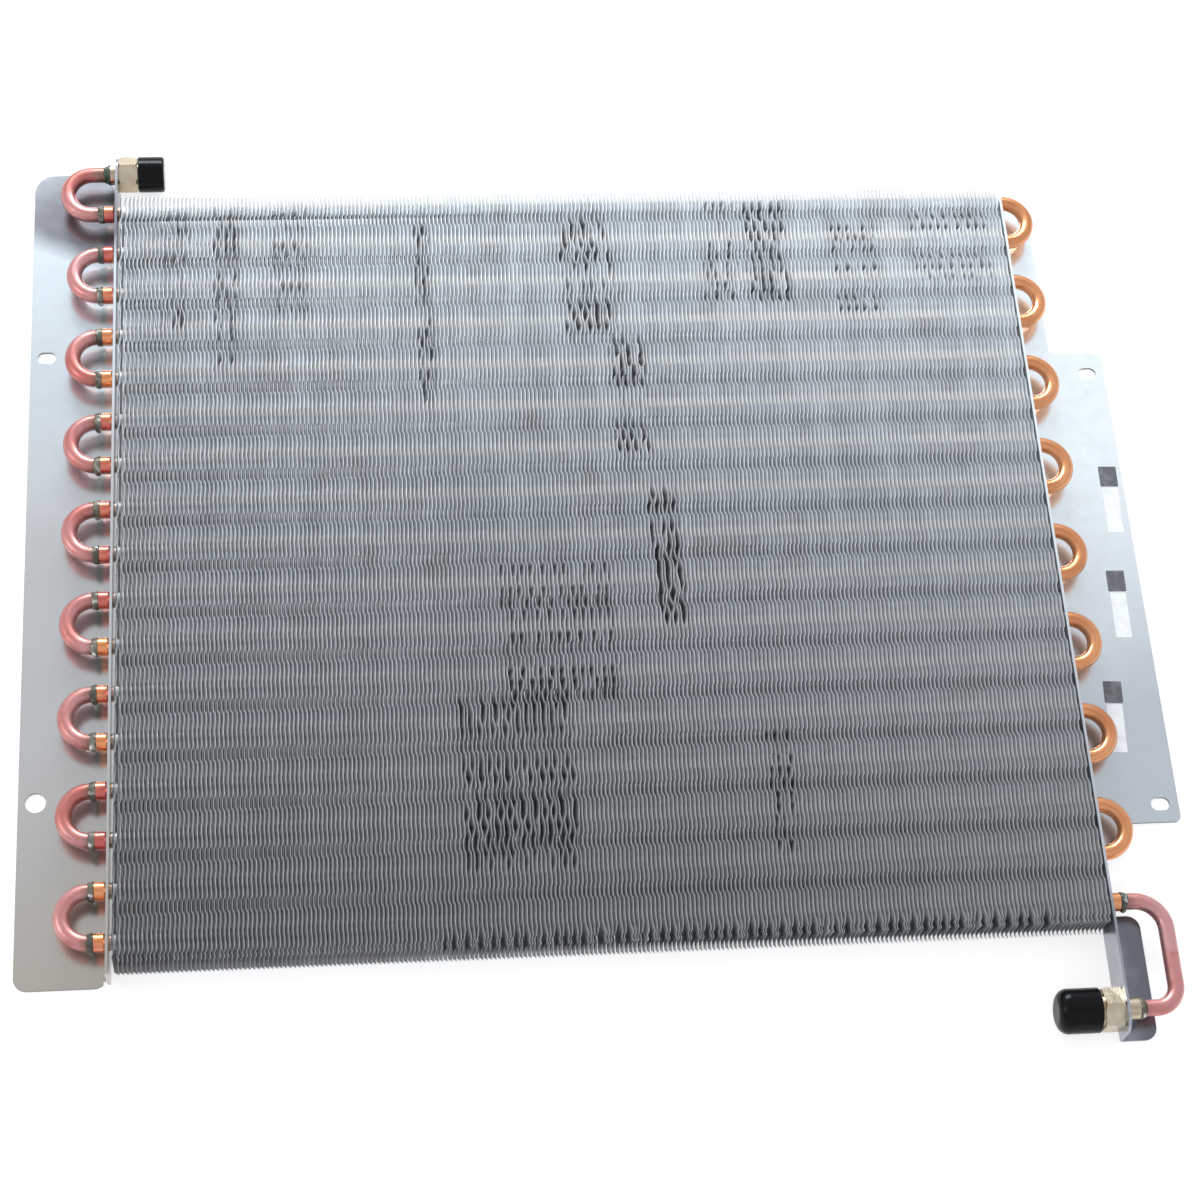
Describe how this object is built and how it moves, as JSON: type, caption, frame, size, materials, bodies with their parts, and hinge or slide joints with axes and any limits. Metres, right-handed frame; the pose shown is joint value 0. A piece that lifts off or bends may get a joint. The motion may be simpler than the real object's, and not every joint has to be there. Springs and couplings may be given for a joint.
{
  "type": "air conditioning condenser coil",
  "caption": "Flat tube-and-fin condenser coil with copper return bends at both sides, bent end plates with fixing slots, and capped inlet and outlet fittings.",
  "frame": {"origin": "middle of the part's outline, on the surface that the end plates' back faces rest on", "axes": "+X along the tubes, towards the plate with the wide ear; +Y up the bank of tubes, towards the inlet; +Z from the back faces of the end plates to the front of the core"},
  "size_m": [0.7154, 0.6346, 0.029],
  "materials": {
    "fin_aluminium": "brushed",
    "copper_tube": "satin",
    "brazed_copper": "satin",
    "plate_steel": "matte",
    "fitting_brass": "satin",
    "black_plastic": "gloss",
    "solder": "matte"
  },
  "bodies": {
    "root": {"fin_pack": "fin_aluminium", "hairpin_tube_1": "copper_tube", "hairpin_tube_2": "copper_tube", "hairpin_tube_3": "copper_tube", "hairpin_tube_4": "copper_tube", "hairpin_tube_5": "copper_tube", "hairpin_tube_6": "copper_tube", "hairpin_tube_7": "copper_tube", "hairpin_tube_8": "copper_tube", "inlet_bend": "brazed_copper", "inlet_braze": "solder", "inlet_cap": "black_plastic", "inlet_fitting": "fitting_brass", "left_end_plate": "plate_steel", "outlet_cap": "black_plastic", "outlet_fitting": "fitting_brass", "outlet_fitting_braze": "solder", "outlet_pipe": "brazed_copper", "outlet_pipe_braze": "solder", "return_bend_1": "brazed_copper", "return_bend_2": "brazed_copper", "return_bend_3": "brazed_copper", "return_bend_4": "brazed_copper", "return_bend_5": "brazed_copper", "return_bend_6": "brazed_copper", "return_bend_7": "brazed_copper", "return_bend_8": "brazed_copper", "return_bend_brazes": "solder", "right_end_plate": "plate_steel", "straight_tube": "copper_tube"}
  },
  "joints": []
}
